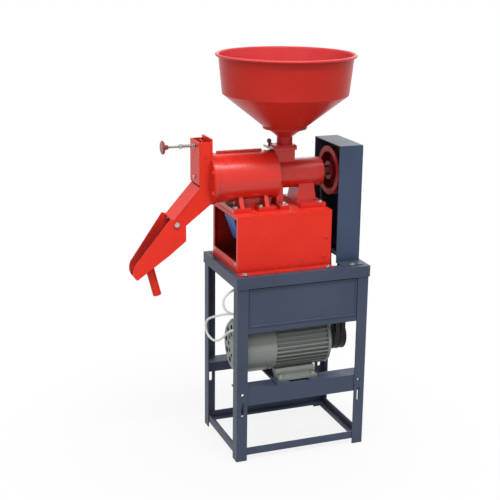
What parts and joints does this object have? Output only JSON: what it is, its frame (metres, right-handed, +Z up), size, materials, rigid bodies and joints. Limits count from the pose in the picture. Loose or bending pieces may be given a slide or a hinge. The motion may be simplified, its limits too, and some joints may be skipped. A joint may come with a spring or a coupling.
{
  "type": "rice huller",
  "caption": "Small rice huller with a hopper, milling barrel and tilting chute on an angle-iron stand, belt driven by a motor below.",
  "frame": {"origin": "on the floor, under the middle of the whole machine", "axes": "+X from the chute towards the belt guard, along the mill shaft; +Y to the back; +Z up"},
  "size_m": [0.6586, 0.39, 1.135],
  "materials": {
    "red_enamel": "glossy sprayed enamel",
    "frame_paint": "satin blue-grey paint on rolled steel",
    "motor_paint": "satin grey-green paint on cast iron",
    "bright_steel": "turned or zinc-plated",
    "cast_iron": "machined casting",
    "blue_paint": "glossy paint on sheet",
    "black_plastic": "moulded",
    "belt_rubber": "fabric-wrapped rubber",
    "white_sheath": "soft PVC"
  },
  "bodies": {
    "frame_and_mill": {"leg_front_left": "frame_paint", "leg_front_right": "frame_paint", "leg_rear_left": "frame_paint", "leg_rear_right": "frame_paint", "top_rail_front": "frame_paint", "top_rail_rear": "frame_paint", "top_rail_left": "frame_paint", "top_rail_right": "frame_paint", "low_rail_front": "frame_paint", "low_rail_rear": "frame_paint", "low_rail_left": "frame_paint", "low_rail_right": "frame_paint", "motor_rail_front": "frame_paint", "motor_rail_rear": "frame_paint", "motor_bars": "frame_paint", "apron_panel": "frame_paint", "frame_bolts": "bright_steel", "bran_box": "red_enamel", "bran_funnel": "blue_paint", "milling_barrel": "red_enamel", "barrel_cover": "red_enamel", "screw_housing": "red_enamel", "bran_sieve": "bright_steel", "rice_knife": "bright_steel", "shaft_bearings": "bright_steel", "mill_bolts": "bright_steel", "hopper_bowl": "red_enamel", "hopper_throat": "red_enamel", "outlet_housing": "red_enamel", "outlet_cover": "red_enamel", "pressure_spring": "bright_steel", "chute_bolts": "bright_steel", "drive_belts": "belt_rubber", "belt_guard": "frame_paint", "motor_housing": "motor_paint", "motor_end_bell": "motor_paint", "fan_cowl": "motor_paint", "terminal_box": "motor_paint", "cable_gland": "black_plastic", "motor_bolts": "bright_steel", "mains_lead": "white_sheath", "lead_coil": "white_sheath", "mains_plug": "white_sheath"},
    "mill_rotor": {"main_shaft": "bright_steel", "feed_screw": "cast_iron", "milling_roller": "cast_iron", "mill_pulley": "red_enamel"},
    "motor_spindle": {"motor_rotor": "bright_steel", "motor_pulley": "cast_iron", "cooling_fan": "black_plastic"},
    "feed_gate": {"gate_plate": "bright_steel", "gate_knob": "black_plastic"},
    "door": {"pressure_door": "bright_steel"},
    "washer": {"thrust_washer": "bright_steel"},
    "hand_screw": {"pressure_screw": "bright_steel", "pressure_knob": "red_enamel"},
    "nut": {"spring_nut": "bright_steel"},
    "tilting_chute": {"lower_chute": "red_enamel", "chute_screen": "bright_steel"}
  },
  "joints": [
    {"name": "mill_spin", "type": "hinge", "parent": "frame_and_mill", "child": "mill_rotor", "pos_m": [0.12825, 0, 0.8], "axis": [1, 0, 0], "continuous": true},
    {"name": "motor_spin", "type": "hinge", "parent": "frame_and_mill", "child": "motor_spindle", "pos_m": [0.12825, -0.04, 0.314], "axis": [1, 0, 0], "continuous": true},
    {"name": "gate_slide", "type": "slide", "parent": "frame_and_mill", "child": "feed_gate", "axis": [-1, 0, 0], "range_m": [0, 0.032]},
    {"name": "door_swing", "type": "hinge", "parent": "frame_and_mill", "child": "door", "pos_m": [-0.12725, 0, 0.87], "axis": [0, 1, 0], "range_deg": [0, 7], "stiffness_Nm_per_rad": 6},
    {"name": "washer_slide", "type": "slide", "parent": "frame_and_mill", "child": "washer", "axis": [1, 0, 0], "range_m": [0, 0.00403], "deforming": ["pressure_spring"]},
    {"name": "screw_turn", "type": "hinge", "parent": "washer", "child": "hand_screw", "pos_m": [-0.12575, 0, 0.893], "axis": [1, 0, 0], "range_deg": [0, 720]},
    {"name": "nut_advance", "type": "slide", "parent": "washer", "child": "nut", "axis": [1, 0, 0], "range_m": [0, 0.003], "deforming": ["pressure_spring"]},
    {"name": "chute_tilt", "type": "hinge", "parent": "frame_and_mill", "child": "tilting_chute", "pos_m": [-0.21175, 0, 0.688], "axis": [0, 1, 0], "range_deg": [-10, 12]}
  ],
  "couplings": [
    {"joint": "motor_spin", "follows": "mill_spin", "ratio": 1.6667},
    {"joint": "washer_slide", "follows": "door_swing", "m_per_rad": 0.033},
    {"joint": "nut_advance", "follows": "screw_turn", "m_per_rad": 0.00023873}
  ]
}
